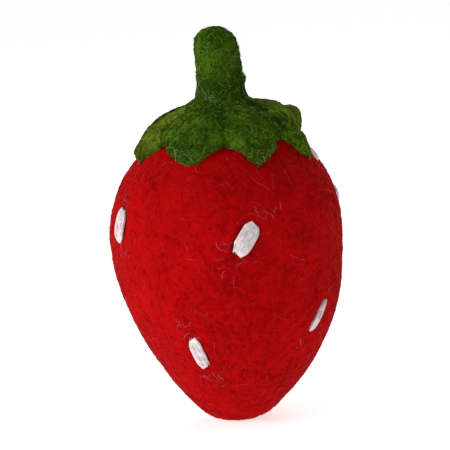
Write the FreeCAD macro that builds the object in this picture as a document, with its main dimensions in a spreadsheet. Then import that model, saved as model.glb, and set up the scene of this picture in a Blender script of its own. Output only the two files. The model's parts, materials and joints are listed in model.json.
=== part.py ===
import FreeCAD, Part
import math
import os
import Sketcher

# A needle-felted wool strawberry pincushion that stands on its flattened tip.
# The berry is turned about the Z axis, the foot rests on Z = 0, and the front looks along -Y.
# The crown above the girth is half a ball, so everything on it is set out by the angle from
# its top. An azimuth is counted from the front towards +X. Millimetres and degrees.

SIZES = {
    "girth_radius": 21.0,       # widest part of the berry, and the radius of its crown
    "girth_height": 34.5,       # height of that girth over the foot
    "tip_arc": 10.4,            # the round at the bottom, centred on the axis
    "foot_radius": 3.2,         # flat that the tip is pressed to
    "skin_thickness": 3.0,      # dyed wool over the core
    "roll_radius": 8.0,         # first tight roll of core wool
    "roll_base": 19.0,          # height of the centre of its round lower end
    "roll_length": 16.0,        # centre of one round end to the other
    "cap_thickness": 2.4,       # green wool over the crown
    "cap_angle": 33.5,          # how far down the crown the cap reaches
    "peg_depth": 8.8,           # stem fibres needled down into the crown
    "peg_tip_radius": 1.2,
    "peg_neck_radius": 2.4,
    "splay_angle": 16.0,        # fibres splayed out between crown and cap
    "splay_thickness": 0.5,
    "clearance": 0.3,           # room round every piece that moves
    "stem_pivot_height": 59.0,
    "stem_ball_radius": 2.8,    # rounded lower end, which turns in the cap
    "stem_radius": 4.2,
    "stem_neck": 1.4,           # pivot up to where the stem has its full radius
    "stem_shaft_top": 9.6,      # pivot up to where the domed end begins
    "stem_end_radius": 4.0,     # radius of the stem there
    "stem_length": 12.4,        # pivot up to the top of the domed end
    "stem_lean": 2.0,           # lean towards -X
    "sepal_hinge_angle": 35.0,  # where the sepals leave the cap
    "sepal_slope": 45.0,        # slope of the plane that a sepal's outline lies in
    "sepal_thickness": 2.2,
    "sepal_root_radius": 1.0,   # half-round edge that a sepal turns on
    "sepal_root_inset": 0.25,   # from each corner of the leaf to the end of that edge
    "sepal_side_arc": 9.5,      # radius of the two sides of a sepal's outline
    "sepal_layer_angle": 80.0,  # layer that a sepal is cut from, wider than any sepal
    "sepal_cut_depth": 8.8,     # depth of that cut, through the whole layer
    "seed_height": 0.75,        # how far a seed stands off the skin
}

SEPAL_FIELDS = ("azimuth", "width", "length", "lift")
SEPALS = [
    (-71.0, 7.2, 5.6, 0.0),
    (-25.0, 8.4, 5.0, 0.0),
    (25.0, 8.4, 5.7, 0.0),
    (72.0, 7.2, 6.0, 0.0),
    (130.0, 7.4, 5.8, 45.0),
    (170.0, 7.4, 5.8, 0.0),
    (210.0, 7.2, 6.2, 0.0),
    (249.5, 7.2, 5.6, 0.0),
]

# The lean is to the right of upright, seen from outside the berry.
SEED_FIELDS = ("azimuth", "height", "lean", "half_length", "half_width")
SEEDS = [
    (8.1, 35.7, 36.0, 3.0, 1.6),
    (-65.0, 37.8, 9.0, 2.9, 1.6),
    (-23.8, 15.0, -9.0, 3.1, 1.2),
    (53.2, 20.0, 27.0, 3.0, 0.7),
    (84.0, 48.0, 10.0, 1.6, 1.2),
    (93.0, 40.2, -8.0, 1.4, 1.3),
    (106.0, 12.0, 10.0, 2.7, 1.2),
    (121.0, 25.0, -14.0, 3.1, 1.5),
    (140.0, 38.0, 18.0, 3.0, 1.5),
    (176.0, 42.0, -10.0, 2.9, 1.4),
    (172.0, 22.0, 12.0, 3.1, 1.6),
    (196.0, 31.0, 20.0, 3.2, 1.7),
    (207.0, 13.5, -20.0, 2.8, 1.3),
    (224.0, 40.5, 4.0, 3.0, 1.5),
    (238.0, 25.5, -18.0, 3.1, 1.4),
    (253.0, 37.0, 14.0, 3.0, 1.5),
    (258.0, 15.0, -6.0, 2.9, 1.3),
]

doc = FreeCAD.newDocument("strawberry_pincushion")
sheet = doc.addObject("Spreadsheet::Sheet", "sizes")


# The sheet --------------------------------------------------------------------------------------

def fill_sheet():
    """Write every driving dimension into a cell of its own, under its alias."""
    cells = list(SIZES.items())
    for kind, fields, rows in (("sepal", SEPAL_FIELDS, SEPALS), ("seed", SEED_FIELDS, SEEDS)):
        for number, row in enumerate(rows, 1):
            cells += [("%s_%d_%s" % (kind, number, field), value)
                      for field, value in zip(fields, row)]
    for place, (alias, value) in enumerate(cells, 1):
        sheet.set("A%d" % place, alias)
        sheet.set("B%d" % place, str(value))
        sheet.setAlias("B%d" % place, alias)
    doc.recompute()


def size(alias):
    return float(sheet.get(alias))


def add(kind, name, **formulas):
    """A new object whose properties are formulas on the sheet's aliases."""
    thing = doc.addObject(kind, name)
    for field, formula in formulas.items():
        thing.setExpression(field, formula)
    return thing


# The berry's outline ----------------------------------------------------------------------------

def tip_height():
    """Height of the tip arc's centre, which puts the edge of the foot on Z = 0."""
    return math.sqrt(size("tip_arc") ** 2 - size("foot_radius") ** 2)


def flank_radius():
    """The flank runs on from the tip arc without a corner and is upright at the girth."""
    rise = size("girth_height") - tip_height()
    girth, tip = size("girth_radius"), size("tip_arc")
    return (girth ** 2 + rise ** 2 - tip ** 2) / (2 * (girth - tip))


def outline_arcs(inset=0.0):
    """Centre and radius of the tip, the flank and the crown, all drawn in by an inset."""
    girth, middle = size("girth_radius"), size("girth_height")
    return {
        "tip": ((0.0, tip_height()), size("tip_arc") - inset),
        "flank": ((girth - flank_radius(), middle), flank_radius() - inset),
        "crown": ((0.0, middle), girth - inset),
    }


def tip_join(inset=0.0):
    """Where the tip arc meets the flank."""
    arcs = outline_arcs(inset)
    centre, radius = arcs["tip"]
    across, down = centre[0] - arcs["flank"][0][0], centre[1] - arcs["flank"][0][1]
    span = math.hypot(across, down)
    return centre[0] + radius * across / span, centre[1] + radius * down / span


def skin_point(height):
    """Radius of the skin at a height, and how far its outward normal points up."""
    if height > size("girth_height"):
        name = "crown"
    elif height > tip_join()[1]:
        name = "flank"
    else:
        name = "tip"
    centre, radius = outline_arcs()[name]
    rise = height - centre[1]
    return centre[0] + math.sqrt(radius ** 2 - rise ** 2), math.asin(rise / radius)


def outward(azimuth):
    """Rotation that turns +X to face away from the axis at an azimuth."""
    return FreeCAD.Rotation(FreeCAD.Vector(0, 0, 1), azimuth - 90.0)


# Sketching --------------------------------------------------------------------------------------

START, END, CENTRE = 1, 2, 3
H_AXIS, V_AXIS = -1, -2
ORIGIN = (-1, 1)
rule_of = Sketcher.Constraint


def flat(point):
    return FreeCAD.Vector(point[0], point[1], 0)


def arc(centre, start, end):
    """An arc anticlockwise round its centre."""
    circle = Part.Circle(flat(centre), FreeCAD.Vector(0, 0, 1), math.dist(centre, start))
    first = math.atan2(start[1] - centre[1], start[0] - centre[0])
    last = math.atan2(end[1] - centre[1], end[0] - centre[0])
    return Part.ArcOfCircle(circle, first, last)


def line(start, end):
    return Part.LineSegment(flat(start), flat(end))


def new_sketch(name, role):
    """A body with a sketch on one of its own origin planes."""
    body = doc.addObject("PartDesign::Body", name)
    sketch = body.newObject("Sketcher::SketchObject", name + "_outline")
    origin_plane = next(item for item in body.Origin.OriginFeatures if item.Role == role)
    sketch.AttachmentSupport = [(origin_plane, "")]
    sketch.MapMode = "FlatFace"
    return body, sketch


def fix(sketch, *geometry):
    sketch.addConstraint(rule_of(*geometry))


def measure(sketch, name, formula, *geometry):
    """A dimension of the sketch, driven by a formula on the sheet's aliases."""
    index = sketch.addConstraint(rule_of(*geometry))
    sketch.renameConstraint(index, name)
    sketch.setExpression("Constraints." + name, formula)


def turn(body, sketch):
    """Turn a half outline about the upright axis."""
    turned = body.newObject("PartDesign::Revolution", body.Name + "_turned")
    turned.Profile = sketch
    turned.ReferenceAxis = (sketch, ["V_Axis"])
    turned.Angle = 360.0
    body.Tip = turned


# The berry --------------------------------------------------------------------------------------

def berry_form(name, inset_alias=None):
    """The berry's outline turned solid. The core's form is drawn in and has no flat foot."""
    inset = size(inset_alias) if inset_alias else 0.0
    less = " - sizes." + inset_alias if inset_alias else ""
    arcs = outline_arcs(inset)
    join = tip_join(inset)
    side = (arcs["crown"][1], arcs["crown"][0][1])
    top = (0.0, side[0] + side[1])
    bottom = (0.0, arcs["tip"][0][1] - arcs["tip"][1]) if inset_alias else (0.0, 0.0)
    rim = bottom if inset_alias else (size("foot_radius"), 0.0)

    body, sketch = new_sketch(name, "XZ_Plane")
    tip = sketch.addGeometry(arc(arcs["tip"][0], rim, join))
    flank = sketch.addGeometry(arc(arcs["flank"][0], join, side))
    crown = sketch.addGeometry(arc(arcs["crown"][0], side, top))
    axis = sketch.addGeometry(line(top, bottom))
    fix(sketch, "PointOnObject", tip, CENTRE, V_AXIS)
    measure(sketch, "tip_height", "sqrt(sizes.tip_arc ^ 2 - sizes.foot_radius ^ 2)",
            "DistanceY", *ORIGIN, tip, CENTRE, arcs["tip"][0][1])
    measure(sketch, "tip_round", "sizes.tip_arc" + less, "Radius", tip, arcs["tip"][1])
    fix(sketch, "Tangent", tip, END, flank, START)
    measure(sketch, "flank_height", "sizes.girth_height",
            "DistanceY", *ORIGIN, flank, CENTRE, side[1])
    measure(sketch, "side_height", "sizes.girth_height", "DistanceY", *ORIGIN, flank, END, side[1])
    measure(sketch, "side_radius", "sizes.girth_radius" + less,
            "DistanceX", *ORIGIN, flank, END, side[0])
    fix(sketch, "Coincident", flank, END, crown, START)
    fix(sketch, "PointOnObject", crown, CENTRE, V_AXIS)
    measure(sketch, "crown_height", "sizes.girth_height",
            "DistanceY", *ORIGIN, crown, CENTRE, side[1])
    fix(sketch, "PointOnObject", crown, END, V_AXIS)
    fix(sketch, "Coincident", crown, END, axis, START)
    if inset_alias:
        fix(sketch, "PointOnObject", tip, START, V_AXIS)
        fix(sketch, "Coincident", axis, END, tip, START)
    else:
        foot = sketch.addGeometry(line(bottom, rim))
        fix(sketch, "Coincident", foot, START, *ORIGIN)
        fix(sketch, "Coincident", axis, END, foot, START)
        fix(sketch, "Coincident", foot, END, tip, START)
        fix(sketch, "PointOnObject", foot, END, H_AXIS)
    turn(body, sketch)
    return body


def joined(name, *pieces):
    whole = add("Part::MultiFuse", name)
    whole.Shapes = list(pieces)
    return whole


def cut_by(name, base, *tools):
    """The base with every tool cut away from it."""
    cut = add("Part::Cut", name)
    cut.Base = base
    cut.Tool = tools[0] if len(tools) == 1 else joined(name + "_tools", *tools)
    return cut


def make_core_roll():
    """A tight roll of core wool with round ends, which the berry is begun on."""
    barrel = add("Part::Cylinder", "roll_barrel", Radius="sizes.roll_radius",
                 Height="sizes.roll_length", **{"Placement.Base.z": "sizes.roll_base"})
    ends = [
        add("Part::Sphere", "roll_end_low", Radius="sizes.roll_radius",
            **{"Placement.Base.z": "sizes.roll_base"}),
        add("Part::Sphere", "roll_end_high", Radius="sizes.roll_radius",
            **{"Placement.Base.z": "sizes.roll_base + sizes.roll_length"}),
    ]
    return joined("core_roll", barrel, *ends)


def make_seed(number):
    """A dab of white wool needled on to the skin: half an ellipsoid, flat side down."""
    alias = "seed_%d_" % number
    seed = add("Part::Ellipsoid", "seed_%02d" % number, Radius1="sizes." + alias + "half_length",
               Radius2="sizes." + alias + "half_width", Radius3="sizes.seed_height")
    seed.Angle3 = 180.0
    radius, tilt = skin_point(size(alias + "height"))
    facing = outward(size(alias + "azimuth"))
    upright = FreeCAD.Rotation(FreeCAD.Vector(0, -1, 0), math.degrees(tilt))
    lean = FreeCAD.Rotation(FreeCAD.Vector(1, 0, 0), -size(alias + "lean"))
    flat_side_in = FreeCAD.Rotation(FreeCAD.Vector(0, 0, 1), -90)
    foot = FreeCAD.Vector(radius, 0, size(alias + "height"))
    turned = facing * upright * lean * flat_side_in
    seed.Placement = FreeCAD.Placement(facing.multVec(foot), turned)
    return seed


# The crown: cap, stem root, sepals and stem ------------------------------------------------------

def crown_shell(name, low, high, angle):
    """A layer over the crown between two heights over the skin, inside an angle from the top."""
    centre = {"Placement.Base.z": "sizes.girth_height"}
    outer = add("Part::Sphere", name + "_outside", Radius="sizes.girth_radius + " + high, **centre)
    inner = add("Part::Sphere", name + "_inside", Radius="sizes.girth_radius + " + low, **centre)
    shell = cut_by(name + "_shell", outer, inner)
    reach = "(sizes.girth_radius + sizes.girth_height) / 2"   # past the shell's outer face
    cone = add("Part::Cone", name + "_cone", Height=reach,
               Radius2=reach + " * tan(" + angle + " * 1 deg)", **centre)
    cone.Radius1 = 0.0
    layer = add("Part::Common", name)
    layer.Base = shell
    layer.Tool = cone
    return layer


def make_stem_root():
    """The stem's loose fibres: splayed over the crown, and needled down through the skin."""
    splay = crown_shell("root_splay", "0", "sizes.splay_thickness", "sizes.splay_angle")
    crown_top = "sizes.girth_height + sizes.girth_radius"
    peg = add("Part::Cone", "root_peg", Radius1="sizes.peg_tip_radius",
              Radius2="sizes.peg_neck_radius",
              Height="sizes.peg_depth + sizes.splay_thickness / 2",
              **{"Placement.Base.z": crown_top + " - sizes.peg_depth"})
    return joined("stem_root", splay, peg)


def hinge_point():
    """Middle of a sepal's root line, in the frame where the sepal points along +X."""
    angle = math.radians(size("sepal_hinge_angle"))
    reach = size("girth_radius") + size("clearance") + size("sepal_thickness") / 2
    return FreeCAD.Vector(reach * math.sin(angle), 0,
                          size("girth_height") + reach * math.cos(angle))


def root_bar(name, number, room):
    """A round bar along a sepal's root line, grown by some room, in the sepal's own frame."""
    across = "sizes.sepal_%d_width - 2 * sizes.sepal_root_inset + 2 * %s" % (number, room)
    bar = add("Part::Cylinder", name, Radius="sizes.sepal_root_radius + " + room, Height=across)
    doc.recompute()
    along_root = FreeCAD.Rotation(FreeCAD.Vector(1, 0, 0), -90)
    half = FreeCAD.Vector(0, bar.Height.Value / 2, 0)
    bar.Placement = FreeCAD.Placement(hinge_point() - half, along_root)
    return bar


def sepal_outline(number):
    """A leaf of two arcs that meet at the tip, padded through the crown's layer."""
    alias = "sizes.sepal_%d_" % number
    half, length = size("sepal_%d_width" % number) / 2, size("sepal_%d_length" % number)
    bend = size("sepal_side_arc")
    chord = math.hypot(half, length)
    back = math.sqrt(bend ** 2 - chord ** 2 / 4) / chord
    centre = (length / 2 - half * back, half / 2 - length * back)
    mirror = (centre[0], -centre[1])
    left, right, tip_end = (0.0, half), (0.0, -half), (length, 0.0)

    body, sketch = new_sketch("sepal_%d_leaf" % number, "XY_Plane")
    root = sketch.addGeometry(line(right, left))
    upper = sketch.addGeometry(arc(centre, tip_end, left))
    lower = sketch.addGeometry(arc(mirror, right, tip_end))
    fix(sketch, "PointOnObject", root, START, V_AXIS)
    fix(sketch, "Symmetric", root, START, root, END, H_AXIS)
    measure(sketch, "width", alias + "width", "Distance", root, 2 * half)
    fix(sketch, "Coincident", root, END, upper, END)
    fix(sketch, "Coincident", upper, START, lower, END)
    fix(sketch, "Coincident", lower, START, root, START)
    fix(sketch, "PointOnObject", upper, START, H_AXIS)
    measure(sketch, "length", alias + "length", "DistanceX", *ORIGIN, upper, START, length)
    measure(sketch, "left_side", "sizes.sepal_side_arc", "Radius", upper, bend)
    measure(sketch, "right_side", "sizes.sepal_side_arc", "Radius", lower, bend)
    pad = body.newObject("PartDesign::Pad", body.Name + "_pad")
    pad.Profile = sketch
    pad.SideType = "Symmetric"
    pad.setExpression("Length", "sizes.sepal_cut_depth")
    body.Tip = pad
    slope = FreeCAD.Rotation(FreeCAD.Vector(0, 1, 0), size("sepal_slope"))
    body.Placement = FreeCAD.Placement(hinge_point(), slope)
    return body


def make_sepal(number):
    """A felt leaf that follows the crown and is free beyond its root."""
    name = "sepal_%d" % number
    layer = crown_shell(name + "_layer", "sizes.clearance",
                        "sizes.clearance + sizes.sepal_thickness", "sizes.sepal_layer_angle")
    leaf = add("Part::Common", name + "_blade")
    leaf.Base = layer
    leaf.Tool = sepal_outline(number)
    sepal = joined(name, leaf, root_bar(name + "_root", number, "0"))
    lift = FreeCAD.Rotation(FreeCAD.Vector(0, -1, 0), size(name + "_lift"))
    raised = FreeCAD.Placement(FreeCAD.Vector(), lift, hinge_point())
    turned = FreeCAD.Placement(FreeCAD.Vector(), outward(size(name + "_azimuth")))
    sepal.Placement = turned * raised
    return sepal


def make_collar(stem_root):
    """The cap of green wool, with a notch for each sepal's root and a seat for the stem."""
    cap = crown_shell("cap_layer", "0", "sizes.cap_thickness", "sizes.cap_angle")
    seat = add("Part::Sphere", "stem_seat", Radius="sizes.stem_ball_radius + sizes.clearance",
               **{"Placement.Base.z": "sizes.stem_pivot_height"})
    notches = []
    for number in range(1, len(SEPALS) + 1):
        notch = root_bar("notch_%d" % number, number, "sizes.clearance")
        facing = outward(size("sepal_%d_azimuth" % number))
        notch.Placement = FreeCAD.Placement(FreeCAD.Vector(), facing) * notch.Placement
        notches.append(notch)
    return cut_by("collar", cap, stem_root, seat, *notches)


def make_stem():
    """A fat roll of felt, round below where it turns in the cap, with a domed end."""
    ball, wide, neck = size("stem_ball_radius"), size("stem_radius"), size("stem_neck")
    shaft_top, end, top = size("stem_shaft_top"), size("stem_end_radius"), size("stem_length")
    dome = top - shaft_top
    dome_centre = top - (end ** 2 + dome ** 2) / (2 * dome)
    body, sketch = new_sketch("stem", "XZ_Plane")
    under = sketch.addGeometry(arc((0.0, 0.0), (0.0, -ball), (ball, 0.0)))
    cone = sketch.addGeometry(line((ball, 0.0), (wide, neck)))
    shaft = sketch.addGeometry(line((wide, neck), (end, shaft_top)))
    over = sketch.addGeometry(arc((0.0, dome_centre), (end, shaft_top), (0.0, top)))
    axis = sketch.addGeometry(line((0.0, top), (0.0, -ball)))
    fix(sketch, "Coincident", under, CENTRE, *ORIGIN)
    fix(sketch, "PointOnObject", under, START, V_AXIS)
    fix(sketch, "PointOnObject", under, END, H_AXIS)
    measure(sketch, "ball", "sizes.stem_ball_radius", "Radius", under, ball)
    fix(sketch, "Coincident", under, END, cone, START)
    measure(sketch, "wide", "sizes.stem_radius", "DistanceX", *ORIGIN, cone, END, wide)
    measure(sketch, "neck", "sizes.stem_neck", "DistanceY", *ORIGIN, cone, END, neck)
    fix(sketch, "Coincident", cone, END, shaft, START)
    measure(sketch, "end_radius", "sizes.stem_end_radius", "DistanceX", *ORIGIN, shaft, END, end)
    measure(sketch, "shaft_top", "sizes.stem_shaft_top",
            "DistanceY", *ORIGIN, shaft, END, shaft_top)
    fix(sketch, "Coincident", shaft, END, over, START)
    fix(sketch, "PointOnObject", over, CENTRE, V_AXIS)
    fix(sketch, "PointOnObject", over, END, V_AXIS)
    measure(sketch, "stem_top", "sizes.stem_length", "DistanceY", *ORIGIN, over, END, top)
    fix(sketch, "Coincident", over, END, axis, START)
    fix(sketch, "Coincident", axis, END, under, START)
    turn(body, sketch)
    lean = FreeCAD.Rotation(FreeCAD.Vector(0, -1, 0), size("stem_lean"))
    body.Placement = FreeCAD.Placement(FreeCAD.Vector(0, 0, size("stem_pivot_height")), lean)
    return body


# Building, checking and writing -----------------------------------------------------------------

def build():
    """Every sub-part, in the order in which the real one is made."""
    fill_sheet()
    skin_form = berry_form("skin_form")
    core_form = berry_form("core_form", "skin_thickness")
    core_roll = make_core_roll()
    stem_root = make_stem_root()
    seeds = [make_seed(number) for number in range(1, len(SEEDS) + 1)]
    parts = [core_roll, cut_by("core_wrap", core_form, core_roll, stem_root)]
    parts.append(cut_by("red_skin", skin_form, core_form, stem_root))
    parts += seeds
    parts += [stem_root, make_collar(stem_root)]
    parts += [make_sepal(number) for number in range(1, len(SEPALS) + 1)]
    parts.append(make_stem())
    doc.recompute()
    return parts


def check(parts):
    """Stop if anything failed to build, or if a sub-part isn't one sound solid."""
    for thing in doc.Objects:
        if "Invalid" in thing.State or "Error" in thing.State:
            raise RuntimeError("%s failed: %s" % (thing.Name, thing.State))
    for part in parts:
        if part.Shape.isNull() or not part.Shape.isValid() or len(part.Shape.Solids) != 1:
            raise RuntimeError("%s is not one sound solid" % part.Label)


def write(parts):
    os.makedirs("parts", exist_ok=True)
    for part in parts:
        part.Shape.exportStep(os.path.join("parts", part.Label + ".step"))
        print("%-12s %9.1f mm3" % (part.Label, part.Shape.Volume))


sub_parts = build()
check(sub_parts)
write(sub_parts)
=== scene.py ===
import json
import math
from collections import namedtuple

import bpy
import numpy as np
from mathutils import Matrix, Vector
from mathutils.bvhtree import BVHTree


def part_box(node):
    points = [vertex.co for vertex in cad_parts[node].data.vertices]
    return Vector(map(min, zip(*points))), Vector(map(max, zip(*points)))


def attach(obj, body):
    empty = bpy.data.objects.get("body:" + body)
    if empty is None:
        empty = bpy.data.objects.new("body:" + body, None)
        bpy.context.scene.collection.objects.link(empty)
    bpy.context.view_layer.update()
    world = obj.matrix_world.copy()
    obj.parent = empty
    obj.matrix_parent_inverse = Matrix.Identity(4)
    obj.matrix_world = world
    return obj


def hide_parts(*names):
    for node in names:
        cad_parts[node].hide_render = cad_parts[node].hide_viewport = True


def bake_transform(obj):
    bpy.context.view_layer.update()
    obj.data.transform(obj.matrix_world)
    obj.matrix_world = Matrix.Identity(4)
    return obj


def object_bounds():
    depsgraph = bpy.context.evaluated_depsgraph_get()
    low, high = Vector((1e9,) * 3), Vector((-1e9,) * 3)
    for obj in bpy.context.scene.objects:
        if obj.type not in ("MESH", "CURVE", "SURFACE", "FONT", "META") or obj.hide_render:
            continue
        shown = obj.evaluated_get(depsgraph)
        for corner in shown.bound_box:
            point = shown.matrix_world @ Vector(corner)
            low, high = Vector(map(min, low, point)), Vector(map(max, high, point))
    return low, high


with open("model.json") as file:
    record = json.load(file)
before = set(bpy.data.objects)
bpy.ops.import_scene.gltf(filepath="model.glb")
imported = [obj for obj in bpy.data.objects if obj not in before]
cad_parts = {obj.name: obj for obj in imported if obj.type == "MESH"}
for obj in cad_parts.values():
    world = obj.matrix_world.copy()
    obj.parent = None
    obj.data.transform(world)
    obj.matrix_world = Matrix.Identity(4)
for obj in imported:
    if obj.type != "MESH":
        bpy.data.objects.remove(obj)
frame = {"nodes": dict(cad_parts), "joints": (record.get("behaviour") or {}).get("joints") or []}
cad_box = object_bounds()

# A strawberry pincushion felted from dyed wool with a barbed needle. It stands on its flattened
# tip, +Z up, with its front towards -Y. Sizes are metres, as the frame has them.
MM = 0.001


# ---- The berry -----------------------------------------------------------------------------------
# A thick skin of red wool, wrapped round a firm core of plain wool and needled until it mats.
# The needle leaves pits, the wool lies in small lumps, and the tip is pressed flat to stand on.

skin_node = frame["nodes"]["red_skin"]
skin_points = np.array([v.co for v in skin_node.data.vertices])
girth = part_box("red_skin")[1][0]
crown_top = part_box("red_skin")[1][2]
girth_height = crown_top - girth                    # above the girth the berry is half a ball
foot = np.hypot(*skin_points[skin_points[:, 2] < 0.01 * MM][:, :2].T).max()
tip_round = 10.4 * MM
around = 380                                        # points in each ring of the skin
ring_gap = 0.31 * MM

tip_height = math.sqrt(tip_round ** 2 - foot ** 2)
rise = girth_height - tip_height
flank_round = (girth ** 2 + rise ** 2 - tip_round ** 2) / (2 * (girth - tip_round))
flank_across = girth - flank_round


def wire(tree, kind, sockets=(), **settings):
    """Add a node, set it up, and feed its sockets with plain values or other nodes' outputs."""
    node = tree.nodes.new(kind)
    for name, value in settings.items():
        setattr(node, name, value)
    for key, value in dict(sockets).items():
        if isinstance(value, bpy.types.NodeSocket):
            tree.links.new(value, node.inputs[key])
        else:
            node.inputs[key].default_value = value
    return node


def maths(tree, operation, *terms):
    """One step of arithmetic on plain values or sockets."""
    return wire(tree, "ShaderNodeMath", enumerate(terms), operation=operation).outputs[0]


def eased(tree, value, start, end, low=0.0, high=1.0):
    """Turn a value smoothly from low to high as it goes from start to end."""
    node = wire(tree, "ShaderNodeMapRange", {"Value": value, "From Min": start, "From Max": end,
                                             "To Min": low, "To Max": high},
                interpolation_type="SMOOTHSTEP")
    return node.outputs["Result"]


def new_tree(name, kind, inputs, outputs):
    """A node tree with named inputs and outputs; inputs map to (socket kind, default)."""
    tree = bpy.data.node_groups.new(name, kind)
    for label, (socket_kind, default) in inputs.items():
        socket = tree.interface.new_socket(label, in_out="INPUT", socket_type=socket_kind)
        if default is not None:
            socket.default_value = default
    for label, socket_kind in outputs.items():
        tree.interface.new_socket(label, in_out="OUTPUT", socket_type=socket_kind)
    return tree, tree.nodes.new("NodeGroupInput").outputs, tree.nodes.new("NodeGroupOutput")


FLOAT, WHOLE = "NodeSocketFloat", "NodeSocketInt"
GEOMETRY, MATERIAL = "NodeSocketGeometry", "NodeSocketMaterial"


def make_felt_tree():
    """Moves a smooth surface in and out: soft lumps, needle pits, and ridges of matted fibre."""
    tree, given, result = new_tree("needled surface", "GeometryNodeTree", {
        "Surface": (GEOMETRY, None),
        "Lump Size": (FLOAT, 8 * MM), "Lump Height": (FLOAT, 0.3 * MM),
        "Pit Size": (FLOAT, 1.6 * MM), "Pit Depth": (FLOAT, 0.2 * MM),
        "Ridge Size": (FLOAT, 1.2 * MM), "Ridge Height": (FLOAT, 0.1 * MM),
        "Seed": (FLOAT, 0.0), "Wool": (MATERIAL, None),
    }, {"Surface": GEOMETRY})
    place = wire(tree, "GeometryNodeInputPosition").outputs[0]

    def noise(size, shift, detail, where=place):
        return wire(tree, "ShaderNodeTexNoise", {
            "Vector": where, "W": maths(tree, "ADD", given["Seed"], shift),
            "Scale": maths(tree, "DIVIDE", 1.0, size), "Detail": detail,
        }, noise_dimensions="4D")

    lump = noise(given["Lump Size"], 0.0, 2.0).outputs[0]
    lump = maths(tree, "MULTIPLY", maths(tree, "SUBTRACT", lump, 0.5), 2.0)
    lump = maths(tree, "MULTIPLY", lump, given["Lump Height"])
    pit = eased(tree, noise(given["Pit Size"], 3.7, 2.5).outputs[0], 0.52, 0.70)
    sunk = maths(tree, "MULTIPLY", pit, given["Pit Depth"])
    stir = noise(maths(tree, "MULTIPLY", given["Ridge Size"], 2.0), 7.3, 1.0).outputs[1]
    stir = wire(tree, "ShaderNodeVectorMath", {0: stir, 1: (0.5, 0.5, 0.5)}, operation="SUBTRACT")
    stir = wire(tree, "ShaderNodeVectorMath", {
        0: stir.outputs[0], "Scale": maths(tree, "MULTIPLY", given["Ridge Size"], 2.2),
    }, operation="SCALE")
    stirred = wire(tree, "ShaderNodeVectorMath", {0: place, 1: stir.outputs[0]}).outputs[0]
    ridge = noise(given["Ridge Size"], 11.1, 1.0, stirred).outputs[0]
    ridge = maths(tree, "ABSOLUTE", maths(tree, "SUBTRACT", ridge, 0.5))
    ridge = eased(tree, ridge, 0.0, 0.09, 1.0, 0.0)
    raised = maths(tree, "MULTIPLY", ridge, given["Ridge Height"])
    height = maths(tree, "ADD", maths(tree, "SUBTRACT", lump, sunk), raised)
    normal = wire(tree, "GeometryNodeInputNormal").outputs[0]
    shift = wire(tree, "ShaderNodeVectorMath", {0: normal, "Scale": height}, operation="SCALE")
    marked = wire(tree, "GeometryNodeStoreNamedAttribute", {
        "Geometry": given["Surface"], "Name": "pit", "Value": pit})
    moved = wire(tree, "GeometryNodeSetPosition", {
        "Geometry": marked.outputs[0], "Offset": shift.outputs[0]})
    felt = wire(tree, "GeometryNodeRealizeInstances", {"Geometry": moved.outputs[0]})
    felt = wire(tree, "GeometryNodeSetMaterial", {
        "Geometry": felt.outputs[0], "Material": given["Wool"]})
    tree.links.new(felt.outputs[0], result.inputs[0])
    return tree


def evaluated(piece, tree, **inputs):
    """Run a node tree on a piece and return the plain mesh that comes out."""
    modifier = piece.modifiers.new(tree.name, "NODES")
    modifier.node_group = tree
    keys = {item.name: item.identifier for item in tree.interface.items_tree
            if item.in_out == "INPUT"}
    for label, value in inputs.items():
        modifier[keys[label.replace("_", " ")]] = value
    graph = bpy.context.evaluated_depsgraph_get()
    mesh = bpy.data.meshes.new_from_object(piece.evaluated_get(graph))
    piece.modifiers.remove(modifier)
    return mesh


def new_piece(name, mesh):
    """A smooth-shaded object in the scene, at the origin."""
    mesh.name = name
    mesh.shade_smooth()
    piece = bpy.data.objects.new(name, mesh)
    bpy.context.scene.collection.objects.link(piece)
    return piece


def closed_rings(rows, ends):
    """Points and faces of a closed skin over rings of points, with a single point at each end."""
    rows = np.asarray(rows)
    count, ring = rows.shape[:2]
    points = np.vstack([rows.reshape(-1, 3), ends])
    low_end, high_end = count * ring, count * ring + 1
    here = np.arange(ring)
    after = (here + 1) % ring
    faces = []
    for row in range(count - 1):
        base = row * ring
        faces += np.stack([base + here, base + after, base + ring + after,
                           base + ring + here], 1).tolist()
    last = (count - 1) * ring
    faces += [(low_end, b, a) for a, b in zip(here.tolist(), after.tolist())]
    faces += [(high_end, last + a, last + b) for a, b in zip(here.tolist(), after.tolist())]
    return points, faces


def joined_mesh(shapes):
    """One mesh from several closed shapes, each given as its points and faces."""
    points, faces, start = [], [], 0
    for more_points, more_faces in shapes:
        points.append(np.asarray(more_points))
        faces += [[index + start for index in face] for face in more_faces]
        start += len(more_points)
    mesh = bpy.data.meshes.new("shape")
    mesh.from_pydata(np.vstack(points).tolist(), [], faces)
    return mesh


def berry_outline():
    """Radius and height of each ring, from the edge of the foot up to the crown."""
    join = math.atan2(tip_height - girth_height, -flank_across)
    foot_edge = math.asin(foot / tip_round)
    crown_end = math.pi / 2 - ring_gap / girth
    stretches = [
        (0.0, tip_height, tip_round, foot_edge - math.pi / 2, join),
        (flank_across, girth_height, flank_round, join, 0.0),
        (0.0, girth_height, girth, 0.0, crown_end),
    ]
    inner = np.arange(ring_gap, foot - ring_gap / 2, ring_gap)
    outline = [(radius, 0.0) for radius in inner]
    for across, height, radius, start, end in stretches:
        steps = max(2, round(radius * (end - start) / ring_gap))
        angles = np.linspace(start, end, steps, endpoint=end == crown_end)
        outline += [(across + radius * math.cos(a), height + radius * math.sin(a)) for a in angles]
    return outline


bow_most = 0.5 * MM
bow_left, bow_right = 35 * MM, 11 * MM              # heights where it leans out the most


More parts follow.
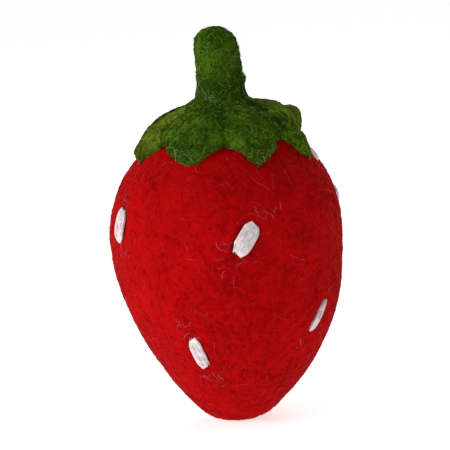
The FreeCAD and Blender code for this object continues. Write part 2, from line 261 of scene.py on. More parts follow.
def bow(height):
    """How far the berry's middle line leans out: a little to the right low down, left above."""
    if height < bow_left:
        part = (height - bow_right) / (bow_left - bow_right)
        return bow_most * math.cos(math.pi * part) * min(1, height / bow_right)
    part = (height - bow_left) / (crown_top - bow_left)
    return -bow_most * (1 + math.cos(math.pi * part)) / 2


def azimuths(count):
    return np.arange(count) * 2 * math.pi / count


turn_x, turn_y = np.sin(azimuths(around)), -np.cos(azimuths(around))
rings = []
for radius, height in berry_outline():
    rings.append(np.stack([bow(height) + radius * turn_x, radius * turn_y,
                           np.full(around, height)], 1))
smooth_skin = joined_mesh([closed_rings(rings, [(0, 0, 0), (bow(crown_top), 0, crown_top)])])
skin_tree = BVHTree.FromPolygons([v.co[:] for v in smooth_skin.vertices],
                                 [p.vertices[:] for p in smooth_skin.polygons])


def seat(node_name):
    """Where a seed sits: its centre, its lengthwise, sideways and outward axes, and its size."""
    points = np.array([v.co for v in frame["nodes"][node_name].data.vertices])
    middle = Vector((points.min(0) + points.max(0)) / 2)
    spot, outward = skin_tree.find_nearest(middle)[:2]
    level = outward.cross(Vector((0, 0, 1))).normalized()
    upward = level.cross(outward)
    flat = (points - points.mean(0)) @ np.array([level, upward]).T
    axes = np.linalg.eigh(flat.T @ flat)[1]
    along = axes[:, 1] if axes[1, 1] > 0 else -axes[:, 1]
    length_way = (level * along[0] + upward * along[1]).normalized()
    side_way = outward.cross(length_way).normalized()
    reach = points - np.array(spot)
    return {"spot": spot, "length_way": length_way, "side_way": side_way, "outward": outward,
            "half_length": np.ptp(reach @ np.array(length_way)) / 2,
            "half_width": np.ptp(reach @ np.array(side_way)) / 2}


seed_names = sorted(name for name in frame["nodes"] if name.startswith("seed_"))
seats = {name: seat(name) for name in seed_names}

# The needle pulls the red wool down round each seed, so the seed sits in a shallow hollow.
hollow_depth, hollow_width = 0.55 * MM, 0.28        # the width as a part of the seed's own
under_seed = 0.7                                    # how deep it is under the seed itself
places = np.array([v.co for v in smooth_skin.vertices])
normals = np.array([v.normal for v in smooth_skin.vertices])
sink = np.zeros(len(places))
for spot in seats.values():
    away = places - np.array(spot["spot"])
    near = np.linalg.norm(away, axis=1) < 3 * spot["half_length"]
    off = np.hypot(away[near] @ np.array(spot["length_way"]) / spot["half_length"],
                   away[near] @ np.array(spot["side_way"]) / spot["half_width"])
    sink[near] += hollow_depth * np.exp(-((off - 1.0) / hollow_width) ** 2)
    sink[near] += hollow_depth * under_seed * (off < 1.0)
places -= normals * sink[:, None]
smooth_skin.vertices.foreach_set("co", places.ravel())


def make_wool_group():
    """Masks for matted wool: pits between tufts, pale wisps on top, soft mottling, and height."""
    tree, given, result = new_tree("matted wool", "ShaderNodeTree", {
        "Tuft Size": (FLOAT, 1.0 * MM), "Wisp Size": (FLOAT, 3.0 * MM),
        "Wisp Width": (FLOAT, 0.012), "Seed": (FLOAT, 0.0),
    }, {"Pits": FLOAT, "Wisps": FLOAT, "Mottle": FLOAT, "Patches": FLOAT, "Height": FLOAT})
    place = wire(tree, "ShaderNodeTexCoord").outputs["Object"]

    def noise(size, shift, detail, where):
        return wire(tree, "ShaderNodeTexNoise", {
            "Vector": where, "W": maths(tree, "ADD", given["Seed"], shift),
            "Scale": maths(tree, "DIVIDE", 1.0, size), "Detail": detail,
        }, noise_dimensions="4D")

    def stirred(size, amount, shift):
        stir = noise(size, shift, 2.0, place).outputs[1]
        stir = wire(tree, "ShaderNodeVectorMath", {0: stir, 1: (0.5, 0.5, 0.5)},
                    operation="SUBTRACT")
        stir = wire(tree, "ShaderNodeVectorMath", {0: stir.outputs[0], "Scale": amount},
                    operation="SCALE")
        return wire(tree, "ShaderNodeVectorMath", {0: place, 1: stir.outputs[0]}).outputs[0]

    tuft = noise(given["Tuft Size"], 0.0, 4.0, place).outputs[0]
    pits = eased(tree, tuft, 0.40, 0.62, 1.0, 0.0)
    mottle = noise(maths(tree, "MULTIPLY", given["Tuft Size"], 6.0), 5.0, 2.0, place).outputs[0]
    patches = noise(maths(tree, "MULTIPLY", given["Tuft Size"], 13.0), 6.0, 1.0, place).outputs[0]
    patches = eased(tree, patches, 0.42, 0.60, 0.3, 1.0)
    warped = stirred(maths(tree, "MULTIPLY", given["Wisp Size"], 0.7),
                     maths(tree, "MULTIPLY", given["Wisp Size"], 1.1), 9.0)
    line = noise(given["Wisp Size"], 13.0, 0.0, warped).outputs[0]
    line = maths(tree, "ABSOLUTE", maths(tree, "SUBTRACT", line, 0.5))
    line = eased(tree, line, 0.0, given["Wisp Width"], 1.0, 0.0)
    patch = noise(maths(tree, "MULTIPLY", given["Wisp Size"], 2.5), 17.0, 1.0, place).outputs[0]
    wisps = maths(tree, "MULTIPLY", line, eased(tree, patch, 0.46, 0.62))
    fine = noise(maths(tree, "MULTIPLY", given["Tuft Size"], 0.3), 21.0, 3.0, warped).outputs[0]
    height = maths(tree, "ADD", maths(tree, "MULTIPLY", tuft, 0.6),
                   maths(tree, "MULTIPLY", fine, 0.4))
    height = maths(tree, "ADD", height, maths(tree, "MULTIPLY", wisps, 0.25))
    for label, value in (("Pits", pits), ("Wisps", wisps), ("Mottle", mottle),
                         ("Patches", patches), ("Height", height)):
        tree.links.new(value, result.inputs[label])
    return tree


wool_group = make_wool_group()


def mixed(tree, amount, first, second):
    """One colour turned into another by a mask."""
    node = wire(tree, "ShaderNodeMix", {"Factor": amount, 6: first, 7: second}, data_type="RGBA")
    return node.outputs[2]


def wool_material(name, seed, deep, body, light, wisp, tuft=1.0 * MM, wisp_size=3.0 * MM,
                  sheen=0.02, bump=0.25 * MM, tuft_shade=0.55, pit_shade=1.0):
    """Matted wool: painted shade in the pits, lighter on the tufts, with pale wisps lying on top.

    Two amounts from 0 to 1 say how dark the painted shade is in the wool's own pits and in the
    needle's pits. A piece may also mark painted shade between parts, or a darker tip, as dark as a
    pit.
    """
    material = bpy.data.materials.new(name)
    material.use_nodes = True
    tree = material.node_tree
    shader = tree.nodes["Principled BSDF"]
    wool = wire(tree, "ShaderNodeGroup", node_tree=wool_group)
    for label, value in (("Tuft Size", tuft), ("Wisp Size", wisp_size), ("Seed", seed)):
        wool.inputs[label].default_value = value
    # Painted shade: the colour turns to the deep colour in the wool's own pits, in the needle's
    # pits and where a piece marks shade between parts or a darker tip.
    pit = wire(tree, "ShaderNodeAttribute", attribute_name="pit").outputs["Fac"]
    darkening = maths(tree, "MAXIMUM", maths(tree, "MULTIPLY", wool.outputs["Pits"], tuft_shade),
                   maths(tree, "MULTIPLY", pit, pit_shade))
    darkening = maths(tree, "MULTIPLY", darkening, wool.outputs["Patches"])
    shade_and_dark_tip = wire(tree, "ShaderNodeAttribute", attribute_name="shade_and_dark_tip").outputs["Fac"]
    darkening = maths(tree, "MAXIMUM", darkening, shade_and_dark_tip)
    colour = mixed(tree, eased(tree, wool.outputs["Mottle"], 0.35, 0.65), body, light)
    colour = mixed(tree, darkening, colour, deep)
    colour = mixed(tree, maths(tree, "MULTIPLY", wool.outputs["Wisps"], 0.35), colour, wisp)
    tree.links.new(colour, shader.inputs["Base Color"])
    rough = eased(tree, wool.outputs["Mottle"], 0.3, 0.7, 0.86, 0.98)
    tree.links.new(rough, shader.inputs["Roughness"])
    raised = wire(tree, "ShaderNodeBump", {"Height": wool.outputs["Height"], "Strength": 0.6,
                                           "Distance": bump})
    tree.links.new(raised.outputs[0], shader.inputs["Normal"])
    shader.inputs["Specular IOR Level"].default_value = 0.04
    shader.inputs["Sheen Weight"].default_value = sheen
    shader.inputs["Sheen Roughness"].default_value = 0.5
    shader.inputs["Sheen Tint"].default_value = wisp
    return material


red_wool = wool_material("red_wool", 1.0, deep=(0.23, 0.0004, 0.0008, 1),
                         body=(0.400, 0.0008, 0.0015, 1), light=(0.450, 0.0015, 0.0025, 1),
                         wisp=(0.56, 0.010, 0.014, 1), tuft=0.9 * MM, sheen=0.02, bump=0.2 * MM)
felt_tree = make_felt_tree()
rough = new_piece("berry_smooth", smooth_skin)
felt_mesh = evaluated(rough, felt_tree, Lump_Size=9 * MM, Lump_Height=0.36 * MM,
                      Pit_Size=1.7 * MM, Pit_Depth=0.17 * MM, Ridge_Size=1.3 * MM,
                      Ridge_Height=0.10 * MM, Seed=2.0, Wool=red_wool)
bpy.data.objects.remove(rough)
for vertex in felt_mesh.vertices:                   # the foot is pressed flat by what it stands on
    vertex.co.z = max(vertex.co.z, 0.0)
berry_felt = new_piece("berry_felt", felt_mesh)
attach(berry_felt, "berry")
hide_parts("red_skin")


# ---- Loose wool on the berry ---------------------------------------------------------------------
# Fibres that the needle didn't catch. Most lie flat on the skin and dive back into it, some
# wander over it as pale wisps, and a few short ends stand off it.

def make_fibre_tree():
    """Strews curly fibres over a surface; they follow it, with their ends drawn down into it."""
    tree, given, result = new_tree("loose fibres", "GeometryNodeTree", {
        "Surface": (GEOMETRY, None), "Per Square Metre": (FLOAT, 1e6), "Seed": (WHOLE, 0),
        "Length": (FLOAT, 3 * MM), "Thickness": (FLOAT, 0.03 * MM), "Curl": (FLOAT, 0.6 * MM),
        "Arch": (FLOAT, 0.1 * MM), "Stand Off": (FLOAT, 0.0), "Wool": (MATERIAL, None),
    }, {"Fibres": GEOMETRY})
    cover = wire(tree, "GeometryNodeInputNamedAttribute", {"Name": "cover"}).outputs[0]
    points = wire(tree, "GeometryNodeDistributePointsOnFaces", {
        "Mesh": given["Surface"], "Seed": given["Seed"],
        "Density": maths(tree, "MULTIPLY", given["Per Square Metre"], cover)})

    def chance(shift, low=0.0, high=1.0):
        node = wire(tree, "FunctionNodeRandomValue", {
            2: low, 3: high, "Seed": maths(tree, "ADD", given["Seed"], shift)})
        return node.outputs[1]

    marked = wire(tree, "GeometryNodeStoreNamedAttribute", {
        "Geometry": points.outputs["Points"], "Name": "shade", "Value": chance(1)})
    spin = wire(tree, "FunctionNodeAxisAngleToRotation", {
        "Axis": (0, 0, 1), "Angle": chance(2, 0.0, 2 * math.pi)})
    facing = wire(tree, "FunctionNodeRotateRotation", {
        "Rotation": points.outputs["Rotation"], "Rotate By": spin.outputs[0]},
        rotation_space="LOCAL")
    fibre = wire(tree, "GeometryNodeCurvePrimitiveLine", {
        "Start": (-0.5, 0, 0), "End": (0.5, 0, 0)})
    fibre = wire(tree, "GeometryNodeResampleCurve", {"Curve": fibre.outputs[0], "Count": 8})
    size = maths(tree, "MULTIPLY", given["Length"], chance(3, 0.5, 1.5))
    strewn = wire(tree, "GeometryNodeInstanceOnPoints", {
        "Points": marked.outputs[0], "Instance": fibre.outputs[0],
        "Rotation": facing.outputs[0], "Scale": size})
    strewn = wire(tree, "GeometryNodeRealizeInstances", {"Geometry": strewn.outputs[0]})

    place = wire(tree, "GeometryNodeInputPosition").outputs[0]
    shade = wire(tree, "GeometryNodeInputNamedAttribute", {"Name": "shade"}).outputs[0]
    stir = wire(tree, "ShaderNodeTexNoise", {
        "Vector": place, "W": maths(tree, "MULTIPLY", shade, 40.0), "Detail": 1.0,
        "Scale": maths(tree, "DIVIDE", 1.2, given["Length"])}, noise_dimensions="4D").outputs[1]
    stir = wire(tree, "ShaderNodeVectorMath", {0: stir, 1: (0.5, 0.5, 0.5)}, operation="SUBTRACT")
    stir = wire(tree, "ShaderNodeVectorMath", {
        0: stir.outputs[0], "Scale": maths(tree, "MULTIPLY", given["Curl"], 4.0)},
        operation="SCALE")
    curled = wire(tree, "GeometryNodeSetPosition", {
        "Geometry": strewn.outputs[0], "Offset": stir.outputs[0]})

    def nearest(field):
        node = wire(tree, "GeometryNodeSampleNearestSurface", {
            "Mesh": given["Surface"], "Value": field, "Sample Position": place},
            data_type="FLOAT_VECTOR")
        return node.outputs["Value"]

    along = wire(tree, "GeometryNodeSplineParameter").outputs["Factor"]
    bend = maths(tree, "MULTIPLY", maths(tree, "MULTIPLY", along,
                                         maths(tree, "SUBTRACT", 1.0, along)), 4.0)
    height = maths(tree, "MULTIPLY", maths(tree, "SUBTRACT", bend, 0.35), given["Arch"])
    free_end = maths(tree, "MULTIPLY", maths(tree, "POWER", along, 3.0), given["Stand Off"])
    height = maths(tree, "ADD", height, maths(tree, "MULTIPLY", free_end, shade))
    normal = wire(tree, "GeometryNodeInputNormal").outputs[0]
    lifted = wire(tree, "ShaderNodeVectorMath", {0: nearest(normal), "Scale": height},
                  operation="SCALE")
    target = wire(tree, "ShaderNodeVectorMath", {0: nearest(place), 1: lifted.outputs[0]})
    laid = wire(tree, "GeometryNodeSetPosition", {
        "Geometry": curled.outputs[0], "Position": target.outputs[0]})
    thick = maths(tree, "MULTIPLY", given["Thickness"],
                  maths(tree, "ADD", maths(tree, "MULTIPLY", bend, 0.75), 0.25))
    section = wire(tree, "GeometryNodeCurvePrimitiveCircle", {"Resolution": 3, "Radius": 1.0})
    wool = wire(tree, "GeometryNodeCurveToMesh", {
        "Curve": laid.outputs[0], "Profile Curve": section.outputs[0], "Scale": thick,
        "Fill Caps": True})
    wool = wire(tree, "GeometryNodeRealizeInstances", {"Geometry": wool.outputs[0]})
    wool = wire(tree, "GeometryNodeSetMaterial", {
        "Geometry": wool.outputs[0], "Material": given["Wool"]})
    tree.links.new(wool.outputs[0], result.inputs[0])
    return tree


fibre_tree = make_fibre_tree()


def fibre_material(name, dark, middle, light, sheen=0.05):
    """Wool fibre: each one has its own shade, and it fades a little along its length."""
    material = bpy.data.materials.new(name)
    material.use_nodes = True
    tree = material.node_tree
    shader = tree.nodes["Principled BSDF"]
    shade = wire(tree, "ShaderNodeAttribute", attribute_name="shade").outputs["Fac"]
    place = wire(tree, "ShaderNodeTexCoord").outputs["Object"]
    fade = wire(tree, "ShaderNodeTexNoise", {"Vector": place, "Scale": 900.0, "Detail": 2.0})
    tone = maths(tree, "ADD", shade, maths(tree, "MULTIPLY", maths(
        tree, "SUBTRACT", fade.outputs[0], 0.5), 0.8))
    colour = mixed(tree, eased(tree, tone, 0.1, 0.5), dark, middle)
    colour = mixed(tree, eased(tree, tone, 0.6, 1.0), colour, light)
    tree.links.new(colour, shader.inputs["Base Color"])
    tree.links.new(eased(tree, tone, 0.0, 1.0, 0.75, 0.95), shader.inputs["Roughness"])
    shader.inputs["Specular IOR Level"].default_value = 0.05
    shader.inputs["Sheen Weight"].default_value = sheen
    shader.inputs["Sheen Tint"].default_value = light
    return material


def loose_wool(name, surface, material, body, slot, where=None, **sizes):
    """Strew fibres over a finished surface, or over the places that where gives, from 0 to 1."""
    bare = bpy.data.objects.new(name + "_ground", surface.data.copy())
    cover = [where(vertex.co) if where else 1.0 for vertex in bare.data.vertices]
    bare.data.attributes.new("cover", "FLOAT", "POINT").data.foreach_set("value", cover)
    bpy.context.scene.collection.objects.link(bare)
    fibres = new_piece(name, evaluated(bare, fibre_tree, Wool=material, **sizes))
    bpy.data.objects.remove(bare)
    if body:
        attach(fibres, body)
    return fibres


red_fibre = fibre_material("red_fibre", dark=(0.28, 0.0006, 0.001, 1),
                           middle=(0.40, 0.001, 0.0018, 1), light=(0.50, 0.004, 0.006, 1))
pink_fibre = fibre_material("pink_fibre", dark=(0.44, 0.004, 0.006, 1),
                            middle=(0.50, 0.014, 0.020, 1), light=(0.58, 0.055, 0.070, 1))
frayed_fibre = fibre_material("frayed_fibre", dark=(0.48, 0.016, 0.022, 1),
                              middle=(0.54, 0.05, 0.07, 1), light=(0.62, 0.15, 0.18, 1))


pressed_height = 0.5 * MM


def off_the_floor(place):
    """0 under the foot, where loose wool is pressed flat, and 1 above it."""
    return float(place.z > pressed_height)


fray_at, fray_along, fray_across = 1.7, 0.8, 1.6    # in half lengths and half widths of a seed


def past_seed_ends(place):
    """1 on the skin just past either end of a seed, falling to 0 a few millimetres off."""
    most = 0.0
    for spot in seats.values():
        off = place - spot["spot"]
        if off.length > 3 * spot["half_length"]:
            continue
        along = abs(off.dot(spot["length_way"])) / spot["half_length"]
        across = off.dot(spot["side_way"]) / spot["half_width"]
        most = max(most, math.exp(-((along - fray_at) / fray_along) ** 2
                                   - (across / fray_across) ** 2))
    return most


loose_wool("berry_fuzz", berry_felt, red_fibre, "berry", "red_wool", off_the_floor,
           Per_Square_Metre=6.0e5, Seed=1, Length=2.0 * MM, Thickness=0.034 * MM,
           Curl=0.55 * MM, Arch=0.04 * MM, Stand_Off=0.15 * MM)
loose_wool("berry_wisps", berry_felt, pink_fibre, "berry", "red_wool", off_the_floor,
           Per_Square_Metre=9.0e4, Seed=2, Length=2.6 * MM, Thickness=0.05 * MM,
           Curl=1.1 * MM, Arch=0.10 * MM, Stand_Off=0.2 * MM)
loose_wool("frayed_wisps", berry_felt, frayed_fibre, "berry", "white_wool", past_seed_ends,
           Per_Square_Metre=1.0e6, Seed=3, Length=1.7 * MM, Thickness=0.038 * MM,
           Curl=1.0 * MM, Arch=0.10 * MM, Stand_Off=0.15 * MM)


# ---- Seeds ---------------------------------------------------------------------------------------
# Each seed is a pinch of white wool laid in a few flat strands and needled down at both ends.
# It is blunt at the ends and widest in the middle, and single fibres run along it.

strands_in_seed = 15
seed_rows, seed_ring = 28, 28
seed_proud = 0.45 * MM                              # how far it stands off the skin
seed_root = 0.5 * MM                                # how deep it goes into it
end_drop = 0.45                                     # how much lower its ends are
seed_grooves, groove_depth = 9, 0.16
random = np.random.default_rng(7)


def seed_width(along):
    """Half width of a seed along its length, as a part of its widest half."""
    return min(1.0, 0.56 + 1.1 * (1 - abs(along))) * (1 - 0.06 * along ** 2)


def on_seed(spot, along, across, height):
    """A point over the skin, from a seed's own measures."""
    flat = spot["spot"] + spot["length_way"] * along * spot["half_length"] \
        + spot["side_way"] * across * spot["half_width"]
    near, normal = skin_tree.find_nearest(flat)[:2]
    return near + normal * height


def seed_crest(along):
    """How far a seed stands off the skin along its length."""
    return seed_proud * (1 - end_drop * min(1, abs(along)) ** 3)


def seed_tuft(spot):
    """The body of a seed: a low cushion with grooves between its strands."""
    rows = []
    slant = random.uniform(0.10, 0.22) * random.choice([-1, 1])
    wave = random.uniform(0, 6.28)
    for along in np.linspace(-1, 1, seed_rows):
        width, row = seed_width(along), []
        crest = seed_crest(along)
        for angle in np.arange(seed_ring) * 2 * math.pi / seed_ring:
            groove = 1 + groove_depth * math.cos(seed_grooves * angle + wave + 1.5 * along)
            across = width * math.cos(angle)
            height = crest * groove * abs(math.sin(angle)) ** 0.7
            if math.sin(angle) < 0:
                height = -seed_root * abs(math.sin(angle))
            row.append(on_seed(spot, along + slant * across * abs(along), across, height))
        rows.append(row)
    ends = [on_seed(spot, -1.0, 0, 0.0), on_seed(spot, 1.0, 0, 0.0)]
    return closed_rings(rows, ends)


def tube(path, radii, sides=4):
    """A closed round strand along a path of points."""
    path = [Vector(point) for point in path]
    rows = []
    side = Vector((0.3, 0.5, 0.8))
    for here, point in enumerate(path):
        way = (path[min(here + 1, len(path) - 1)] - path[max(here - 1, 0)]).normalized()
        side = (side - way * side.dot(way)).normalized()
        other = way.cross(side)
        rows.append([point + (side * math.cos(a) + other * math.sin(a)) * radii[here]
                     for a in np.arange(sides) * 2 * math.pi / sides])
    return closed_rings(rows, [path[0], path[-1]])


def seed_strand(spot, across, reach):
    """A single fibre bundle that runs along a seed and dives into the felt at each end."""
    path, phase, sway = [], random.uniform(0, 6.28), random.uniform(0.03, 0.12)
    steps = np.linspace(-reach, reach, 14)
    for along in steps:
        width = seed_width(min(1.0, abs(along)))
        lie = across * width + sway * math.sin(2.6 * along + phase)
        over = seed_crest(along) * math.sqrt(max(0.0, 1 - min(1.0, abs(lie / width)) ** 2))
        end = max(0.0, abs(along) - 0.88) / 0.2
        path.append(on_seed(spot, along, lie, over + 0.03 * MM - end * seed_root))
    thick = random.uniform(0.055, 0.10) * MM
    return tube(path, [thick * (1 - 0.6 * (abs(s) / reach) ** 4) for s in steps])


shapes = []
for name in seed_names:
    spot = seats[name]
    shapes.append(seed_tuft(spot))
    for across in np.linspace(-0.92, 0.92, strands_in_seed):
        reach = random.uniform(0.94, 1.08)
        shapes.append(seed_strand(spot, across + random.uniform(-0.05, 0.05), reach))
seed_wool = new_piece("seed_wool", joined_mesh(shapes))
white_wool = wool_material("white_wool", 4.0, deep=(0.46, 0.34, 0.35, 1),
                           body=(0.80, 0.70, 0.71, 1), light=(0.88, 0.83, 0.83, 1),
                           wisp=(0.96, 0.93, 0.93, 1), tuft=0.9 * MM, wisp_size=1.2 * MM,
                           sheen=0.05, bump=0.1 * MM)
seed_wool.data.materials.append(white_wool)
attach(seed_wool, "berry")
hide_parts(*seed_names)


# ---- The calyx's cap -----------------------------------------------------------------------------
# A flat round of green wool needled over the crown. It is thickest round the stem, with a
# furrow between one sepal and the next, and its edge is rounded off under the sepals.

joints = {joint["name"]: joint for joint in frame["joints"]}
sepal_joints = {number: joints["sepal_%d_lift" % number] for number in range(1, 9)}
sepal_azimuth = {number: math.atan2(joint["pos_m"][0], -joint["pos_m"][1])
                 for number, joint in sepal_joints.items()}
hinge_angle = math.atan2(math.hypot(*sepal_joints[1]["pos_m"][:2]),
                         sepal_joints[1]["pos_m"][2] - girth_height)
cap_edge = math.radians(36.5)
cap_around, rings_under, rings_over = 220, 60, 90
cap_sunk, cap_thickness = 0.5 * MM, 2.5 * MM
hub_rise, hub_reach = 1.3 * MM, 6.2 * MM            # the swelling round the stem
furrow_depth = 0.9 * MM
furrow_width, furrow_from = math.radians(8), math.radians(16)


def over_crown(angle, azimuth, height):
    """A point over the crown: an angle from the top, an azimuth and a height over the skin."""
    reach = girth + height
    out = reach * math.sin(angle)
    up = girth_height + reach * math.cos(angle)
    return Vector((bow(up) + out * math.sin(azimuth), -out * math.cos(azimuth), up))


def furrow(azimuth):
    """1 midway between two neighbouring sepals, 0 along them."""
    order = sorted(sepal_azimuth.values())
    gaps = [(a + b) / 2 for a, b in zip(order, order[1:])]
    gaps.append((order[-1] + order[0] + 2 * math.pi) / 2)
    off = min(abs((azimuth - gap + math.pi) % (2 * math.pi) - math.pi) for gap in gaps)
    return math.exp(-(off / furrow_width) ** 2)


def cap_rows():
    """Rings of points out along the cap's underside and back in over its top."""
    under, over = [], []
    azimuth_steps = azimuths(cap_around)
    furrows = [furrow(azimuth) for azimuth in azimuth_steps]
    for angle in np.linspace(math.radians(1), cap_edge - math.radians(0.8), rings_under):
        under.append([over_crown(angle, azimuth, -cap_sunk) for azimuth in azimuth_steps])
    for angle in np.linspace(cap_edge, math.radians(1), rings_over):
        row = []
        inward = (cap_edge - angle) / cap_edge
        edge = min(1.0, inward / 0.10) ** 0.5
        hub = hub_rise * math.exp(-((girth * math.sin(angle)) / hub_reach) ** 4)
        for azimuth, depth in zip(azimuth_steps, furrows):
            cut = furrow_depth * depth * (1 - math.exp(-(angle / furrow_from) ** 4))
            row.append(over_crown(angle, azimuth, (cap_thickness - cut) * edge + hub))
        over.append(row)
    return under + over


smooth_cap = new_piece("cap_smooth", joined_mesh([closed_rings(cap_rows(), [
    over_crown(0, 0, -cap_sunk), over_crown(0, 0, 3.5 * MM)])]))
green_sizes = dict(Lump_Size=3.6 * MM, Lump_Height=0.30 * MM, Pit_Size=1.1 * MM,
                   Pit_Depth=0.22 * MM, Ridge_Size=0.9 * MM, Ridge_Height=0.12 * MM)
green_wool = wool_material("green_wool", 6.0, deep=(0.005, 0.016, 0.0004, 1),
                           body=(0.024, 0.076, 0.002, 1), light=(0.070, 0.150, 0.006, 1),
                           wisp=(0.14, 0.22, 0.02, 1), tuft=1.1 * MM, wisp_size=2.0 * MM,
                           tuft_shade=0.85)
olive_wool = wool_material("olive_wool", 7.0, deep=(0.028, 0.050, 0.002, 1),
                           body=(0.125, 0.182, 0.009, 1), light=(0.185, 0.255, 0.016, 1),
                           wisp=(0.20, 0.26, 0.04, 1), tuft=1.2 * MM, wisp_size=2.0 * MM,
                           tuft_shade=0.7)
# A lighter copy of the green wool: painted light for the sepal that faces away from the key light.
painted_light_green_wool = wool_material("painted_light_green_wool", 9.0, deep=(0.010, 0.030, 0.001, 1),
                            body=(0.048, 0.130, 0.004, 1), light=(0.125, 0.235, 0.010, 1),
                            wisp=(0.20, 0.28, 0.04, 1), tuft=1.1 * MM, wisp_size=2.0 * MM,
                            tuft_shade=0.7)
cap_mesh = evaluated(smooth_cap, felt_tree, Seed=5.0, Wool=green_wool, **green_sizes)
bpy.data.objects.remove(smooth_cap)
calyx_cap = new_piece("calyx_cap", cap_mesh)
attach(calyx_cap, "berry")
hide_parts("collar")
green_fibre = fibre_material("green_fibre", dark=(0.008, 0.026, 0.001, 1),
                             middle=(0.040, 0.097, 0.003, 1), light=(0.185, 0.275, 0.030, 1))
olive_fibre = fibre_material("olive_fibre", dark=(0.035, 0.065, 0.003, 1),
                             middle=(0.115, 0.170, 0.008, 1), light=(0.21, 0.28, 0.03, 1))
pale_fibre = fibre_material("pale_green_fibre", dark=(0.06, 0.12, 0.012, 1),
                            middle=(0.13, 0.20, 0.04, 1), light=(0.30, 0.36, 0.16, 1))
green_fuzz = dict(Per_Square_Metre=2.6e6, Length=1.4 * MM, Thickness=0.055 * MM, Curl=0.6 * MM,
                  Arch=0.13 * MM, Stand_Off=0.3 * MM)
loose_wool("cap_fuzz", calyx_cap, green_fibre, "berry", "green_wool", Seed=11, **green_fuzz)


# ---- Sepals --------------------------------------------------------------------------------------
# Fat pointed lobes of the same green wool. Each runs in to the stem, is needled to the cap as
# far as its root, and is free beyond it. One stands up from the berry.

# Half width at the root; angle of the tip from the crown's top, bluntness, and the way it swings
# round, in degrees; thickness beside the other sepals, and at the tip; and how far its sides are
# rounded off over the crown, where some sepals melt into their neighbours.
Leaf = namedtuple("Leaf", "half_width tip blunt swing bulk tip_height rounding")
leaves = {
    1: Leaf(4.2 * MM, 49.5, 0.90, 2.0, 0.86, 0.9 * MM, 0.90),
    2: Leaf(5.9 * MM, 48.3, 0.50, 1.0, 1.00, 1.2 * MM, 0.28),
    3: Leaf(5.6 * MM, 51.0, 0.80, -2.0, 1.00, 1.1 * MM, 0.28),
    4: Leaf(4.3 * MM, 52.0, 1.00, -7.0, 0.74, 0.9 * MM, 0.90),
    5: Leaf(4.9 * MM, 50.0, 0.42, 2.0, 1.38, 3.2 * MM, 0.50),
    6: Leaf(4.7 * MM, 51.5, 0.80, 3.0, 0.90, 1.1 * MM, 0.50),
    7: Leaf(4.7 * MM, 52.5, 0.90, -3.0, 0.95, 1.0 * MM, 0.40),
    8: Leaf(4.4 * MM, 51.0, 0.65, 2.0, 0.90, 1.2 * MM, 0.50),
}
raised_sepal, raised_by = 5, math.radians(48.5)
# Sepal 4 takes the lighter copy of the green wool as painted light; sepals 1 and 5 are olive wool.
leaf_wools = {1: (olive_wool, olive_fibre), 4: (painted_light_green_wool, green_fibre),
              5: (olive_wool, olive_fibre)}
# How thick the wool is over the skin, from near the stem out to the roots.
crest_angles = np.radians([9, 18, 28, 35])
crest_heights = np.array([2.7, 3.2, 3.4, 3.0]) * MM
leaf_start, bulk_from = math.radians(9), math.radians(16)
leaf_step, leaf_ring = 0.16 * MM, 96
edge_wobble, wobbles = 0.38 * MM, 31               # waves for each radian out from the stem
tip_round_from = 0.72                               # as a part of a sepal's free length
thinnest = 0.25 * MM
root_sunk = 0.25 * MM                               # how deep it is needled into the cap
free_gap = 0.12 * MM                                # under a sepal where it is free
free_rounding = 0.55


# Where one sepal meets the next the colour is darkened: painted shade in the crease between them.
# How dark it is beyond each sepal, going round the crown, and how wide that line is.
meeting_shades = {1: 0.85, 2: 0.15, 3: 0.6, 4: 0.3, 5: 0.6, 6: 0.6, 7: 0.6, 8: 0.7}
meeting_width = 0.7 * MM
shade_from, shade_fully = math.radians(13), math.radians(30)
# Sepal 1 is also painted darker towards its tip, with the same mark.
dark_tipped, tip_darkness = 1, 0.8
dark_from, dark_fully = 35.5, 42.5                  # degrees from the crown's top


def meetings():
    """The azimuths where neighbouring sepals meet, nearer to the narrower one."""
    found = []
    for number in sorted(sepal_azimuth, key=sepal_azimuth.get):
        after = number % len(sepal_azimuth) + 1
        turn = (sepal_azimuth[after] - sepal_azimuth[number]) % (2 * math.pi)
        part = leaves[number].half_width / (leaves[number].half_width + leaves[after].half_width)
        found.append((sepal_azimuth[number] + turn * part, meeting_shades[number]))
    return found


def shade_and_dark_tip(place, number):
    """Painted shade where one sepal meets the next, and sepal 1's darker tip, from 0 to 1."""
    sideways = place.x - bow(place.z)
    azimuth = math.atan2(sideways, -place.y)
    out = math.hypot(sideways, place.y)
    angle = math.atan2(out, place.z - girth_height)
    dark = 0.0
    for meeting, depth in meeting_lines:
        off = out * ((azimuth - meeting + math.pi) % (2 * math.pi) - math.pi)
        dark = max(dark, depth * math.exp(-(off / meeting_width) ** 2))
    dark *= min(1.0, max(0.0, angle - shade_from) / (shade_fully - shade_from))
    if number == dark_tipped:
        tip = min(1.0, max(0.0, math.degrees(angle) - dark_from) / (dark_fully - dark_from))
        dark = max(dark, tip_darkness * tip)
    return dark


def mark_shade_and_dark_tip(piece, depths):
    """Tell a piece's material how much painted shade, or darker tip, it has at each of its points.
    """
    piece.data.attributes.new("shade_and_dark_tip", "FLOAT", "POINT").data.foreach_set("value", depths)


meeting_lines = meetings()


def leaf_width(shape, angle):
    """Half width of a leaf: a wedge out to the root, then drawn in to the tip."""
    if angle < hinge_angle:
        return shape.half_width * (math.sin(angle) / math.sin(hinge_angle)) ** 0.8
    tip = math.radians(shape.tip)
    return shape.half_width * max((tip - angle) / (tip - hinge_angle), 0.0) ** shape.blunt


